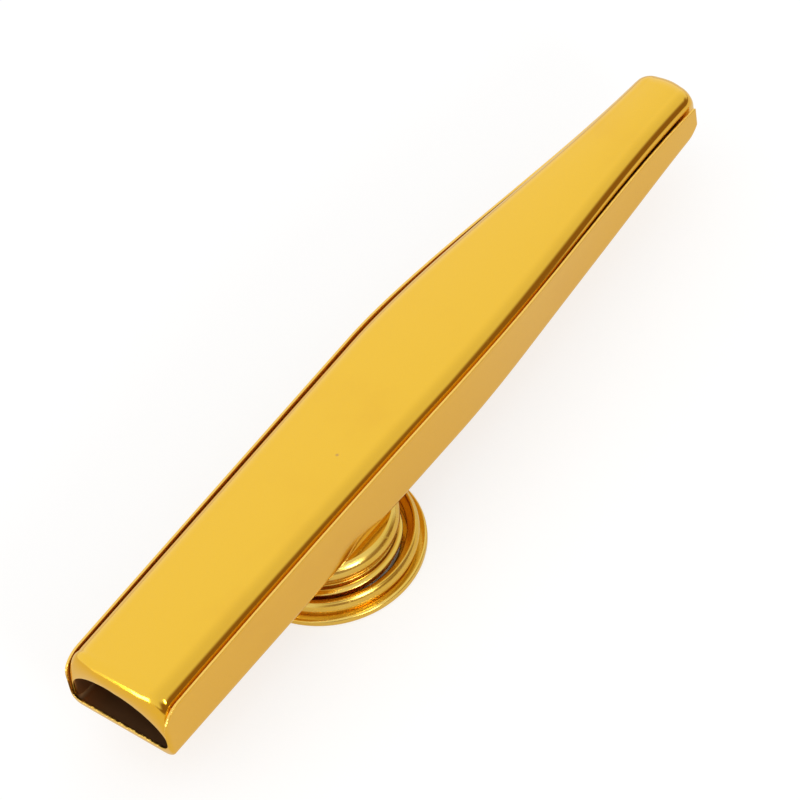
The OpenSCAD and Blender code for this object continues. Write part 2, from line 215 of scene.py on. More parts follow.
def sheet_grid(outer, inner):
    """One closed grid round a sheet. A point is the middle of the two skins, plus n times
    their half distance, plus s outwards along the sheet. n runs 1 to -1 over a cut edge while
    s follows its two rounded corners, and at both end rows n shrinks to nothing in the same
    way. With it comes a number for each point, which tells the outer skin, the inner skin and
    the cut edges apart."""
    middle, half = (outer + inner) / 2, (outer - inner) / 2
    core = 1 - 2 * cut_round / sheet_t
    corner_a = np.linspace(0, math.pi / 2, cut_steps)
    n_round = core + (1 - core) * np.cos(corner_a)
    s_round = cut_round * np.sin(corner_a)
    n_cut = np.concatenate([n_round[1:], -n_round[:0:-1]])
    s_cut = np.concatenate([s_round[1:], s_round[:0:-1]])
    ahead, on_cut = np.arange(middle.shape[1]), np.ones(len(n_cut), int)
    ones, zeros = np.ones(len(ahead)), np.zeros(len(ahead))
    cols = np.concatenate([ahead, ahead[-1] * on_cut, ahead[::-1], ahead[0] * on_cut])
    n = np.concatenate([ones, n_cut, -ones, -n_cut])[:, None]
    s = np.concatenate([zeros, s_cut, zeros, s_cut])[:, None]
    side = np.zeros_like(middle)
    side[:, -1] = unit(middle[:, -1] - middle[:, -2])
    side[:, 0] = unit(middle[:, 0] - middle[:, 1])
    loops = middle[:, cols] + n * half[:, cols] + s * side[:, cols]

    def end_rows(row, next_row):
        """Rows that close an end: the half distance shrinks by the rounding and then to zero,
        while the rows move outwards by the rounding."""
        out = unit(middle[row] - middle[next_row])[cols]
        shares = np.append(n_round[1:], 0)[:, None, None]
        shift = np.append(s_round[1:], cut_round)[:, None, None]
        across = n * half[row, cols] + s * side[row, cols]
        return middle[row, cols] + shares * across + shift * out

    grid = np.concatenate([end_rows(0, 1)[::-1], loops, end_rows(-1, -2)])
    skins = np.full(grid.shape[:2], cut_number)
    skins[cut_steps:-cut_steps] = np.concatenate([outer_number * ones, cut_number * on_cut,
                                                  inner_number * ones, cut_number * on_cut])
    return grid, skins


def grid_faces(rows, cols, ring):
    """Quads of a grid of rows and columns. The columns close on themselves, and the rows do
    too if ring."""
    i, j = np.meshgrid(np.arange(rows if ring else rows - 1), np.arange(cols), indexing="ij")
    k, m = (i + 1) % rows, (j + 1) % cols
    quads = np.stack([i * cols + j, i * cols + m, k * cols + m, k * cols + j], axis=2)
    return quads.reshape(-1, 4)


def make_piece(name, points, faces, body, node, material, skins=None):
    """A mesh of points in millimetres that rides on a body and stands for a node. Points
    closer than weld_gap are merged and the faces turned outwards. The points' skin numbers,
    if given, become the attribute skin."""
    mesh = bpy.data.meshes.new(name)
    mesh.from_pydata((np.reshape(points, (-1, 3)) * MM).tolist(), [], faces.tolist())
    if skins is not None:
        numbers = mesh.attributes.new("skin", "FLOAT", "POINT")
        numbers.data.foreach_set("value", np.ravel(skins))
    welder = bmesh.new()
    welder.from_mesh(mesh)
    bmesh.ops.remove_doubles(welder, verts=welder.verts, dist=weld_gap * MM)
    bmesh.ops.recalc_face_normals(welder, faces=welder.faces)
    welder.to_mesh(mesh)
    welder.free()
    mesh.shade_smooth()
    mesh.materials.append(material)
    piece = bpy.data.objects.new(name, mesh)
    bpy.context.scene.collection.objects.link(piece)
    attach(piece, body)
    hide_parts(node)
    return piece


def pressed_piece(name, skin_at, node, lacquered_above):
    """The closed sheet between the skins at depth 0 and at the sheet's thickness, as a piece of
    the kazoo's body. Above a height its inner skin counts as sheltered: the lacquer reached it
    there, and its paler gold is painted light in the gap between the halves."""
    grid, skins = sheet_grid(skin_at(0.0), skin_at(sheet_t))
    skins[(skins < outer_number) & (grid[..., 2] > lacquered_above)] = sheltered_number
    faces = grid_faces(grid.shape[0], grid.shape[1], False)
    return make_piece(name, grid, faces, "body", node, pressed_gold, skins)


class Wire:
    """A socket of a node tree. Operators on it add Math nodes, and node() adds a node of any
    other type."""

    # Where a Mix node of colours has its share, its two colours and its result.
    MIX_SHARE, MIX_FIRST, MIX_SECOND, MIX_RESULT = 0, 6, 7, 2

    def __init__(self, tree, socket=None):
        self.tree, self.socket = tree, socket

    def node(self, kind, settings=None, sockets=None, output=0):
        """Adds a node, sets its settings, and then gives its sockets their values or links."""
        made = self.tree.nodes.new(kind)
        for name, value in (settings or {}).items():
            setattr(made, name, value)
        for name, value in (sockets or {}).items():
            if isinstance(value, Wire):
                self.tree.links.new(value.socket, made.inputs[name])
            else:
                made.inputs[name].default_value = value
        return Wire(self.tree, made.outputs[output] if made.outputs else None)

    def maths(self, operation, first, second):
        """A Math node of two inputs."""
        return self.node("ShaderNodeMath", {"operation": operation}, {0: first, 1: second})

    def __add__(self, other):
        return self.maths("ADD", self, other)

    def __sub__(self, other):
        return self.maths("SUBTRACT", self, other)

    def __rsub__(self, other):
        return self.maths("SUBTRACT", other, self)

    def __mul__(self, other):
        return self.maths("MULTIPLY", self, other)

    __radd__ = __add__
    __rmul__ = __mul__

    def maximum(self, other):
        """The larger of the two at each place."""
        return self.maths("MAXIMUM", self, other)

    def rise(self, low, high):
        """A smooth step from 0 at low to 1 at high; it falls where low is the larger."""
        return self.node("ShaderNodeMapRange", {"interpolation_type": "SMOOTHSTEP"},
                         {0: self, 1: low, 2: high})

    def vector(self, operation, first, second=None, output="Vector"):
        """A Vector Math node of one or two inputs."""
        sockets = {0: first} if second is None else {0: first, 1: second}
        return self.node("ShaderNodeVectorMath", {"operation": operation}, sockets, output)

    def noise(self, per_metre, turn=0.0, detail=2.0, centre=(0.0, 0.0, 0.0)):
        """Noise in object coordinates, with so many features per metre along each axis, turned
        about Z round a centre."""
        place = self.node("ShaderNodeTexCoord", output="Object")
        place = self.node("ShaderNodeMapping", {"vector_type": "TEXTURE"},
                          {"Vector": place, "Location": centre, "Rotation": (0.0, 0.0, turn),
                           "Scale": [1 / count for count in per_metre]})
        return self.noise_at(place, 1.0, detail)

    def noise_at(self, place, per_unit, detail):
        """Noise at a place, with so many features per unit of it."""
        return self.node("ShaderNodeTexNoise", {"noise_dimensions": "3D"},
                         {"Vector": place, "Scale": per_unit, "Detail": detail}, output="Fac")

    def blend(self, first, second, share):
        """A mix of two colours, each a wire or a triple of linear values."""
        first, second = (colour if isinstance(colour, Wire) else (*colour, 1.0)
                         for colour in (first, second))
        return self.node("ShaderNodeMix", {"data_type": "RGBA"},
                         {self.MIX_SHARE: share, self.MIX_FIRST: first, self.MIX_SECOND: second},
                         output=self.MIX_RESULT)

    def surface(self, height, sockets):
        """Ends a material: a Principled surface with the given sockets, and with a height in
        metres as its bump."""
        normal = self.node("ShaderNodeBump", None,
                           {"Strength": 1.0, "Distance": 1.0, "Height": height}, output="Normal")
        shader = self.node("ShaderNodeBsdfPrincipled", None, {**sockets, "Normal": normal})
        self.node("ShaderNodeOutputMaterial", None, {"Surface": shader})

    def lacquered_metal(self, colour, roughness, height, coat, coat_roughness):
        """Ends the material of a metal under clear lacquer."""
        self.surface(height, {"Base Color": colour, "Roughness": roughness, "Metallic": 1.0,
                              "Coat Weight": coat, "Coat Roughness": coat_roughness,
                              "Coat IOR": 1.5})


def new_material(name):
    """An empty material and a wire on its node tree."""
    material = bpy.data.materials.new(name)
    material.use_nodes = True
    material.node_tree.nodes.clear()
    return material, Wire(material.node_tree)


gold_colour = (0.885, 0.530, 0.021)
amber_colour = (0.82, 0.45, 0.015)
raw_brass = (0.93, 0.60, 0.13)
dull_brass = (0.46, 0.25, 0.11)
# A paler gold: painted light in the gap between the halves.
gap_light_gold = (0.86, 0.66, 0.20)
amber_share = 0.6
pit_darkness = 0.6
sheet_lacquer = 0.9
sheet_lacquer_roughness = 0.04
pit_at = (-0.0182, -0.0028, 0.0186)
pit_edge_r = 0.35
pit_core_r = 0.1
pit_depth = 0.04
wave_h = 0.024
mark_h = 0.0006
hair_depth = 0.0012
grain_h = 0.0008
burr_h = 0.09


def make_pressed_gold():
    """Gold lacquer over polished sheet: faint draw marks along the body, slow waves, two sets
    of hairline scratches, small grains, one pit, clouds of amber where the lacquer is thicker,
    a paler gold on the walls' inner faces as painted light in the gap between the halves, bare
    cut edges with burrs, and a duller brass inside."""
    material, wire = new_material("pressed_gold")
    skin = wire.node("ShaderNodeAttribute", {"attribute_name": "skin"}, output="Fac")
    inside = skin.rise(low=-0.5, high=-0.8)
    shelter_and_gap_light = skin.rise(low=-0.05, high=-0.25)
    cut = skin.rise(low=0.35, high=0.75)
    marks = wire.noise((25, 2600, 2600), detail=3.0)
    waves = wire.noise((55, 130, 130), detail=1.0)
    clouds = wire.noise((70, 90, 90), detail=4.0)
    hairs = wire.noise((60, 5200, 900), turn=0.5, detail=1.0).rise(low=0.74, high=0.80)
    crossing = wire.noise((70, 4800, 900), turn=-0.9, detail=1.0, centre=(0.3, 0.1, 0.0))
    hairs = hairs + crossing.rise(low=0.75, high=0.81)
    grains = wire.noise((900, 900, 900), detail=2.0).rise(low=0.72, high=0.82)
    burrs = wire.noise((1900, 1900, 1900), detail=2.0) * cut
    place = wire.node("ShaderNodeTexCoord", output="Object")
    from_pit = wire.vector("DISTANCE", place, pit_at, output="Value")
    pit = from_pit.rise(low=pit_edge_r * MM, high=pit_core_r * MM)
    amber = clouds.rise(low=0.45, high=0.85) * amber_share
    colour = wire.blend(gold_colour, amber_colour, amber)
    colour = wire.blend(colour, dull_brass, pit * pit_darkness)
    # Painted light: the walls' sheltered inner faces get a paler gold, which lightens the gap
    # between the halves.
    colour = wire.blend(colour, gap_light_gold, shelter_and_gap_light)
    colour = wire.blend(colour, dull_brass, inside)
    colour = wire.blend(colour, raw_brass, cut)
    roughness = (0.07 + 0.05 * marks + 0.05 * clouds + 0.12 * hairs
                 + 0.20 * shelter_and_gap_light + 0.12 * inside + 0.12 * cut)
    height = (waves * (wave_h * MM) + marks * (mark_h * MM) - hairs * (hair_depth * MM)
              + grains * (grain_h * MM) - pit * (pit_depth * MM) + burrs * (burr_h * MM))
    coat = sheet_lacquer * (1.0 - inside.maximum(cut))
    wire.lacquered_metal(colour, roughness, height, coat, sheet_lacquer_roughness)
    return material


pressed_gold = make_pressed_gold()
channel = pressed_piece("channel_shell", channel_skin, "channel_half", plate_z + lacquered_h)
drill_reach = 1
drill_sides = 96
crease_a = math.radians(40)


def cut_hole(piece, radius, low, high):
    """Cuts a round hole on the turret's axis through a piece, between two heights. Edges that
    bend by more than crease_a are then shaded sharp."""
    drill = bmesh.new()
    bmesh.ops.create_cone(drill, cap_ends=True, segments=drill_sides, radius1=radius * MM,
                          radius2=radius * MM, depth=(high - low) * MM)
    middle = (turret_at * MM, 0, (low + high) / 2 * MM)
    bmesh.ops.translate(drill, verts=drill.verts, vec=middle)
    drill_mesh = bpy.data.meshes.new("drill")
    drill.to_mesh(drill_mesh)
    drill.free()
    tool = bpy.data.objects.new("drill", drill_mesh)
    bpy.context.scene.collection.objects.link(tool)
    cut = piece.modifiers.new("hole", "BOOLEAN")
    cut.operation = "DIFFERENCE"
    cut.solver = "EXACT"
    cut.object = tool
    view = bpy.context.evaluated_depsgraph_get()
    holed = bpy.data.meshes.new_from_object(piece.evaluated_get(view))
    piece.modifiers.remove(cut)
    piece.data = holed
    holed.set_sharp_from_angle(angle=crease_a)
    bpy.data.objects.remove(tool)


cut_hole(channel, passage_r + eyelet_t + eyelet_gap, plate_z - drill_reach, plate_z + drill_reach)

# Pillow half: the rounded half, drawn from the same brass sheet. It nests between the
# channel's walls with its cut edges down, and its ends are rolled over to form the arched
# mouth and the small outlet at the tip.
mouth_crown_h = 10.6
belly_crown_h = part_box("pillow_half")[1][2] / MM - plate_z
tip_crown_h = 7.6
crown_arch = 0.2
front_bend_r = 3.0
pillow_bend_r = 2.6
tip_bend_r = 2.1
side_gap = 0.1
tip_gap = 0.15
pillow_foot_h = 0.9
tip_foot_h = 1.6
mouth_setback = 0.4
mouth_roll_l = 2.0
mouth_roll_h = 2.6
tip_roll_l = 3.0
tip_roll_h = 2.2
roll_a = math.radians(98)
mouth_bend_w = 6.5
mouth_bend_h = 4.6
mouth_tilt = 0.8
mouth_side_tuck = 0.2
mouth_foot_rise = 0.9
tip_side_tuck = 1.2
tip_bow = 1.2
tip_foot_rise = 0.4
side_points = 14
pillow_bend_points = 22
crown_points = 16
roll_points = 26


def pillow_section(half, crown, bend, wide, arch, tilt, foot, lean):
    """Section at each station: straight up the side, a quarter ellipse as wide as wide and as
    high as bend, a parabola over the crown, and the same down the other side. The bends lie
    lower than the crown's middle by arch; a tilt lowers the first side and lifts the second,
    and fades out towards their feet."""
    side = np.linspace(0, 1, side_points, endpoint=False)
    arc = np.linspace(0, math.pi / 2, pillow_bend_points, endpoint=False)
    over = np.linspace(1, 0, crown_points)
    low = crown - arch - bend
    y = np.concatenate([half - lean * (1 - side), half - wide * (1 - np.cos(arc)),
                        (half - wide) * over], axis=1)
    z = np.concatenate([foot + (low - foot) * side, low + bend * np.sin(arc),
                        crown - arch * over * over], axis=1)
    swing = tilt * y / half * np.concatenate([side, 1 + 0 * arc, 1 + 0 * over])
    return (np.concatenate([-y, y[:, -2::-1]], axis=1),
            np.concatenate([z - swing, (z + swing)[:, -2::-1]], axis=1))


def pillow_skin(depth):
    """The pillow's skin at a depth below its outer face. Each rolled end turns through its
    angle on a quarter ellipse in the crown, while its sides tuck in by 1 minus the angle's
    cosine. Along the mouth's roll the bends widen into one arch in the same way, and its tilt
    grows with the angle's sine. The tip's end bows back by the square of y."""
    front, back = mouth_setback + mouth_roll_l, body_len - tip_roll_l
    mouth_a = np.linspace(roll_a - cut_round / mouth_roll_h, 0, roll_points, endpoint=False)
    straight = np.arange(front, back, station_gap)
    tip_a = np.linspace(0, roll_a - cut_round / tip_roll_h, roll_points)
    mouth_turn, tip_turn = 1 - np.cos(mouth_a), 1 - np.cos(tip_a)
    at_mouth, at_tip = slice(None, roll_points), slice(-roll_points, None)
    x = np.concatenate([front - (mouth_roll_l - depth) * np.sin(mouth_a), straight,
                        back + (tip_roll_l - depth) * np.sin(tip_a)])
    tuck, drop, lean, bow = np.zeros((4, len(x)))
    tuck[at_mouth] = (mouth_side_tuck - depth) * mouth_turn
    tuck[at_tip] = (tip_side_tuck - depth) * tip_turn
    drop[at_mouth] = (mouth_roll_h - depth) * mouth_turn
    drop[at_tip] = (tip_roll_h - depth) * tip_turn
    lean[at_mouth] = np.sin(np.minimum(mouth_a, math.pi / 2))
    bow[at_tip] = tip_bow * tip_turn
    at = np.clip(x, front, back)
    gap = side_gap + tip_gap * ease(behind_belly(at))
    half = half_width(at) - sheet_t - gap - depth - tuck
    crown = along(at, mouth_crown_h, belly_crown_h, tip_crown_h) - depth - drop
    bend = along(at, front_bend_r, pillow_bend_r, tip_bend_r)
    wide = bend.copy()
    bend[at_mouth] += (mouth_bend_h - bend[at_mouth]) * mouth_turn
    wide[at_mouth] += (mouth_bend_w - wide[at_mouth]) * mouth_turn
    foot = along(at, pillow_foot_h, pillow_foot_h, tip_foot_h) + cut_round
    foot[at_mouth] += mouth_foot_rise * mouth_turn
    foot[at_tip] += tip_foot_rise * tip_turn
    y, z = pillow_section(column(half), column(crown), column(bend - depth), column(wide - depth),
                          column(crown_arch * (1 - lean)), column(mouth_tilt * lean),
                          column(foot), column(splay(at)))
    bowed_x = column(x) - column(bow) * (2 * y / tip_w) ** 2
    return np.stack([bowed_x + mouth_at, y, z + plate_z], axis=2)


pressed_piece("pillow_shell", pillow_skin, "pillow_half", body_high[2])

# Turret cup: the threaded cup under the plate, turned from brass. Its neck passes through
# the plate's hole and is spun over inside the body like an eyelet.
cup_low, cup_high = in_mm(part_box("turret_cup"))
rim_z = cup_low[2]
eyelet_top = cup_high[2]
eyelet_rim_w = 0.7
cup_floor_t = 0.8
cup_floor_r = 9.3
bead_r = 10.25
bead_h = 3.3
thread_root_r = 9.75
cup_bore_r = 8.2
rim_inner_round = 0.15
rim_outer_round = 0.25
bead_foot_round = 0.12
eyelet_under_round = 0.1
eyelet_rim_round = 0.25
eyelet_mouth_round = 0.35
passage_foot_round = 0.2
chamber_round = 0.6
pitch = 1.8
ridge_h = 0.7
ridge_w = 1.0
ridge_crest = 1.25
ridge_fade = 5
thread_margin = 0.1
same_radius = 0.02
outline_gap = 0.12
outline_digits = 6
straight_a = 0.01
turns_round = 240


def filleted(corners, steps=6):
    """A closed outline of (radius, height, rounding) corners, each cut by a circle of its
    rounding. A corner without rounding, or one that hardly bends, stays as it is."""
    points = np.array([corner[:2] for corner in corners], float)
    back = unit(np.roll(points, 1, axis=0) - points)
    ahead = unit(np.roll(points, -1, axis=0) - points)
    outline = []
    for point, a, b, (_, _, r) in zip(points, back, ahead, corners):
        half_angle = math.acos(np.clip(a @ b, -1, 1)) / 2
        if r == 0 or math.pi / 2 - half_angle < straight_a:
            outline.append(point[None])
            continue
        centre = point + unit(a + b) * r / math.sin(half_angle)
        start = point + a * r / math.tan(half_angle) - centre
        end = point + b * r / math.tan(half_angle) - centre
        share = np.linspace(0, 1, steps + 1)[:, None]
        outline.append(centre + r * unit(start * (1 - share) + end * share))
    return np.concatenate(outline)


def filled_in(outline, gap):
    """A closed outline with points added every gap along it. Of two points closer than an
    eighth of gap only the second stays."""
    loop = np.concatenate([outline, outline[:1]])
    run = np.concatenate([[0], np.cumsum(np.linalg.norm(np.diff(loop, axis=0), axis=1))])
    extra = np.arange(0, run[-1], gap)
    places = np.unique(np.round(np.concatenate([run[:-1], extra]), outline_digits))
    places = places[np.append(np.diff(places) > gap / 8, True)]
    return np.stack([np.interp(places, run, loop[:, k]) for k in (0, 1)], axis=1)


def swell(end_r, full_r, low, high, steps=14):
    """Corners along a circle's arc that swells from end_r to full_r and back between two
    heights."""
    sag, half = full_r - end_r, (high - low) / 2
    arc_r = (half * half + sag * sag) / (2 * sag)
    reach = math.asin(half / arc_r)
    middle_r, middle_z = full_r - arc_r, (low + high) / 2
    return [(middle_r + arc_r * math.cos(a), middle_z + arc_r * math.sin(a), 0)
            for a in np.linspace(-reach, reach, steps)]


def thread(angle, height, low, high, cross, rise, width):
    """Radial height of a thread ridge at an angle and height: a rounded hump across the helix
    that climbs one pitch a turn and crosses angle 0 at the height cross, faded out towards the
    ends low and high."""
    turn = (height - cross) / pitch - angle / (2 * math.pi)
    middle = cross + pitch * (angle / (2 * math.pi) + np.round(turn))
    across = (height - middle) / (width / 2)
    t = (middle - low - width / 2) / (high - low - width)
    fade = ease(ridge_fade * np.minimum(t, 1 - t))
    hump = ease(ridge_crest * (1 - np.abs(across)))
    return rise * hump * fade


turned_colour = (0.84, 0.56, 0.075)
turned_pale = (0.86, 0.63, 0.16)
# A darker orange: painted shade in the thread's gap.
gap_shade_colour = (0.66, 0.33, 0.03)
turned_lacquer = 0.6
turned_lacquer_roughness = 0.08
# Where that painted shade lies: its heights, its radii beside the cup's thread and in the cap, and
# how softly it starts and ends.
gap_shade_z = (1.6, 3.9)
gap_shade_round_cup = (9.2, 10.0)
gap_shade_in_cap = (10.6, 11.8)
shade_start_soft = 0.2
shade_end_soft = 0.15
runout_r = 0.06
rings_per_metre = 5200.0
ring_h = 0.0022
speck_h = 0.002
patch_h = 0.02


def make_turned_gold():
    """Lacquered turned brass: rings left by the lathe's tool on every face, as noise of radius
    and height, with a little run-out round the axis, paler worn patches, small specks, and
    painted shade: a darker orange without lacquer in the thread's gap, where shade falls."""
    material, wire = new_material("turned_gold")
    place = wire.node("ShaderNodeTexCoord", output="Object")
    place = wire.vector("SUBTRACT", place, (turret_at * MM, 0.0, 0.0))
    flat = wire.vector("MULTIPLY", place, (1.0, 1.0, 0.0))
    radius = wire.vector("LENGTH", flat, output="Value")
    height = wire.node("ShaderNodeSeparateXYZ", None, {0: place}, output="Z")
    runout = wire.noise((60, 60, 60), detail=1.0) * (runout_r * MM)

    def between(value, ends):
        """1 between two places given in millimetres, with soft ends."""
        start, end = ends
        begun = value.rise((start - shade_start_soft) * MM, (start + shade_start_soft) * MM)
        return begun * value.rise((end + shade_end_soft) * MM, (end - shade_end_soft) * MM)

    # Painted shade: the gap beside the thread gets a darker orange and loses its lacquer, so that
    # it stays dark.
    beside_thread = between(radius, gap_shade_round_cup) + between(radius, gap_shade_in_cap)
    painted_gap_shade = between(height, gap_shade_z) * beside_thread
    rings_at = wire.node("ShaderNodeCombineXYZ", None, {0: radius + runout, 1: height + runout})
    rings = wire.noise_at(rings_at, rings_per_metre, detail=2.0)
    patches = wire.noise((160, 160, 320), detail=4.0)
    specks = wire.noise((1500, 1500, 1500), detail=1.0).rise(low=0.68, high=0.8)
    colour = wire.blend(turned_colour, turned_pale, patches.rise(low=0.3, high=0.75))
    colour = wire.blend(colour, gap_shade_colour, painted_gap_shade)
    roughness = 0.15 + 0.10 * rings + 0.08 * patches + 0.15 * specks
    bump = rings * (ring_h * MM) + specks * (speck_h * MM) + patches * (patch_h * MM)
    coat = turned_lacquer * (1.0 - painted_gap_shade)
    wire.lacquered_metal(colour, roughness, bump, coat, turned_lacquer_roughness)
    return material


turned_gold = make_turned_gold()


def turned_piece(name, outline, body, node, material, ridge=None, lift=None):
    """A closed outline of (radius, height) carried round the turret's axis. A thread's ridge,
    a function of angle, height and radius, may be added to the radius, and a lift, a function
    of angle and radius, to the height."""
    angle = np.linspace(0, 2 * math.pi, turns_round, endpoint=False)[None, :]
    radius, height = outline[:, :1] + 0 * angle, outline[:, 1:] + 0 * angle
    if ridge is not None:
        radius = radius + ridge(angle, height, outline[:, :1])
    if lift is not None:
        height = height + lift(angle, radius)
    points = np.stack([turret_at + radius * np.cos(angle), radius * np.sin(angle), height],
                      axis=2)
    faces = grid_faces(len(outline), turns_round, True)
    make_piece(name, points, faces, body, node, material)


thread_top = plate_z - bead_h
cross_z = thread_top - thread_margin - ridge_w / 2
neck_r = passage_r + eyelet_t
eyelet_r = neck_r + eyelet_rim_w
floor_z = plate_z - cup_floor_t
cup_corners = [
    (cup_bore_r, rim_z, rim_inner_round),
    (thread_root_r, rim_z, rim_outer_round),
    (thread_root_r, thread_top, bead_foot_round),
    *swell(cup_floor_r, bead_r, thread_top, plate_z),
    (neck_r, plate_z, 0),
    (neck_r, plate_z + sheet_t, 0),
    (eyelet_r, plate_z + sheet_t, eyelet_under_round),
    (eyelet_r, eyelet_top, eyelet_rim_round),
    (passage_r, eyelet_top, eyelet_mouth_round),
    (passage_r, floor_z, passage_foot_round),
    (cup_bore_r, floor_z, chamber_round),
]
cup_outline = filled_in(filleted(cup_corners), outline_gap)


def cup_ridge(angle, height, radius):
    """The cup's thread: only the wall at the root radius carries it."""
    on_root = np.abs(radius - thread_root_r) < same_radius
    low, high = rim_z + thread_margin, thread_top - thread_margin
    return on_root * thread(angle, height, low, high, cross_z, ridge_h, ridge_w)


turned_piece("cup_shell", cup_outline, "body", "turret_cup", turned_gold,
             ridge=cup_ridge)

# Screw cap: turned from brass bar. A flat flange, a thin groove and a swelling skirt outside;
# a counterbore, the thread, the membrane's shoulder and the sound hole inside.
flange_r = (cap_high[0] - cap_low[0]) / 2
skirt_h = cap_high[2]
flange_t = 1.1
flange_round = 0.35
face_t = 0.55
face_recess = 0.15
foot_w = 0.9
sound_hole_r = 6.8
skirt_r = 12.45
lip_r = 12.05
lip_t = 0.35
lip_drop = 0.1
lip_step = 0.05
counterbore_h = 0.8
groove_w = 0.3
groove_d = 0.8
sound_hole_round = 0.12
face_round = 0.08
foot_round = 0.05
groove_round = 0.05
lip_round = 0.08
counterbore_round = 0.1
bore_mouth_round = 0.15
shoulder_round = 0.1
thread_gap = 0.3
cap_ridge_h = 0.6
cap_ridge_w = 0.7
shoulder_z = face_recess + face_t
counterbore_z = skirt_h - counterbore_h
counterbore_r = lip_r - lip_t
cap_bore_r = thread_root_r + ridge_h + thread_gap
foot_inner_r = flange_r - flange_round - foot_w
groove_r = skirt_r - groove_d
skirt_z = flange_t + groove_w
cap_corners = [
    (sound_hole_r, face_recess, sound_hole_round),
    (foot_inner_r, face_recess, face_round),
    (foot_inner_r, 0, foot_round),
    (flange_r, 0, flange_round),
    (flange_r, flange_t, flange_round),
    (groove_r, flange_t, groove_round),
    (groove_r, skirt_z, groove_round),
    *swell(lip_r, skirt_r, skirt_z, skirt_h - lip_drop),
    (lip_r - lip_step, skirt_h, lip_round),
    (counterbore_r, skirt_h, lip_round),
    (counterbore_r, counterbore_z, counterbore_round),
    (cap_bore_r, counterbore_z, bore_mouth_round),
    (cap_bore_r, shoulder_z, shoulder_round),
    (sound_hole_r, shoulder_z, sound_hole_round),
]
cap_outline = filled_in(filleted(cap_corners), outline_gap)


def cap_ridge(angle, height, radius):
    """The cap's thread: it stands inwards from the bore, half a turn from the cup's."""
    on_bore = np.abs(radius - cap_bore_r) < same_radius
    low, high = shoulder_z + thread_margin, counterbore_z - thread_margin
    cross = cross_z + pitch / 2
    return on_bore * thread(angle, height, low, high, cross, -cap_ridge_h, cap_ridge_w)


turned_piece("cap_shell", cap_outline, "cap", "screw_cap", turned_gold,
             ridge=cap_ridge)

# Membrane film: a disc of thin translucent film, bonded to its ring and clamped below the
# cup's rim. It buzzes when someone hums, and is a little wrinkled where it hangs free.
film_low, film_high = in_mm(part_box("membrane_film"))
film_r = (film_high[0] - film_low[0]) / 2
film_edge = 0.02
film_rings = 60
free_r = 6.9
wrinkle_fade = 2
wrinkle_h = 0.035
crease_h = 0.01
film_shade = (0.80, 0.78, 0.70)
film_white = (0.93, 0.92, 0.86)
film_opacity = 0.8
# For each wave of the wrinkles: radians a millimetre along x and y, a start angle and a share.
wrinkle_waves = ((1.9, 0.7, 0.0, 1.0), (-0.8, 1.1, 1.0, 1.0), (0.9, 3.1, 0.0, 0.6))


def make_film():
    """A milky film: thin clouds, a soft gloss and fine creases."""
    material, wire = new_material("film")
    clouds = wire.noise((260, 340, 260), detail=5.0)
    creases = wire.noise((500, 1600, 500), turn=0.6, detail=3.0)
    colour = wire.blend(film_shade, film_white, clouds.rise(low=0.3, high=0.7))
    wire.surface(creases * (crease_h * MM), {"Base Color": colour,
                                             "Roughness": 0.28 + 0.2 * clouds,
                                             "Alpha": film_opacity})
    return material


def film_wrinkle(angle, radius):
    """Height added to the film: three crossing sines, scaled by the sum of their shares and
    faded out by an ease towards the clamped edge."""
    x, y = radius * np.cos(angle), radius * np.sin(angle)
    waves = sum(share * np.sin(along_x * x + along_y * y + start)
                for along_x, along_y, start, share in wrinkle_waves)
    whole = sum(wave[-1] for wave in wrinkle_waves)
    return wrinkle_h / whole * waves * ease((free_r - radius) / wrinkle_fade)


film_in = np.linspace(0, film_r - film_edge, film_rings)
film_outline = np.concatenate([
    np.stack([film_in, film_low[2] + 0 * film_in], axis=1),
    [[film_r, (film_low[2] + film_high[2]) / 2]],
    np.stack([film_in[::-1], film_high[2] + 0 * film_in], axis=1)])
turned_piece("film_disc", film_outline, "membrane", "membrane_film", make_film(),
             lift=film_wrinkle)

# Membrane ring: a stiff ring punched from pale card. The film is bonded to it, and it lies on
# the cap's shoulder, where the cup's rim clamps it. Its visual stays just clear of the
# shoulder, so that the two faces don't touch.
ring_low, ring_high = in_mm(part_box("membrane_ring"))
ring_r = (ring_high[0] - ring_low[0]) / 2
ring_bore_r = 7.5
ring_round = 0.05
ring_outline_gap = 0.2
lying_gap = 0.01
fibre_h = 0.02
card_shade = (0.72, 0.69, 0.57)
card_pale = (0.86, 0.84, 0.74)
card_blot = (0.66, 0.61, 0.47)
blot_share = 0.5


def make_ring_card():
    """Pressed card: short fibres lying two ways, a little uneven in colour, with a dry
    surface."""
    material, wire = new_material("ring_card")
    fibres = wire.noise((900, 5200, 2600), turn=0.4, detail=3.0)
    fibres = fibres + wire.noise((5200, 900, 2600), turn=0.9, detail=3.0)
    blots = wire.noise((240, 240, 240), detail=3.0)
    colour = wire.blend(card_shade, card_pale, fibres.rise(low=0.7, high=1.3))
    colour = wire.blend(colour, card_blot, blots.rise(low=0.55, high=0.85) * blot_share)
    wire.surface(fibres * (fibre_h * MM), {"Base Color": colour,
                                           "Roughness": 0.8 + 0.1 * blots})
    return material


ring_foot_z = ring_low[2] + lying_gap
ring_corners = [
    (ring_bore_r, ring_foot_z, ring_round),
    (ring_r, ring_foot_z, ring_round),
    (ring_r, ring_high[2], ring_round),
    (ring_bore_r, ring_high[2], ring_round),
]
ring_outline = filled_in(filleted(ring_corners), ring_outline_gap)
turned_piece("card_ring", ring_outline, "membrane", "membrane_ring",
             make_ring_card())

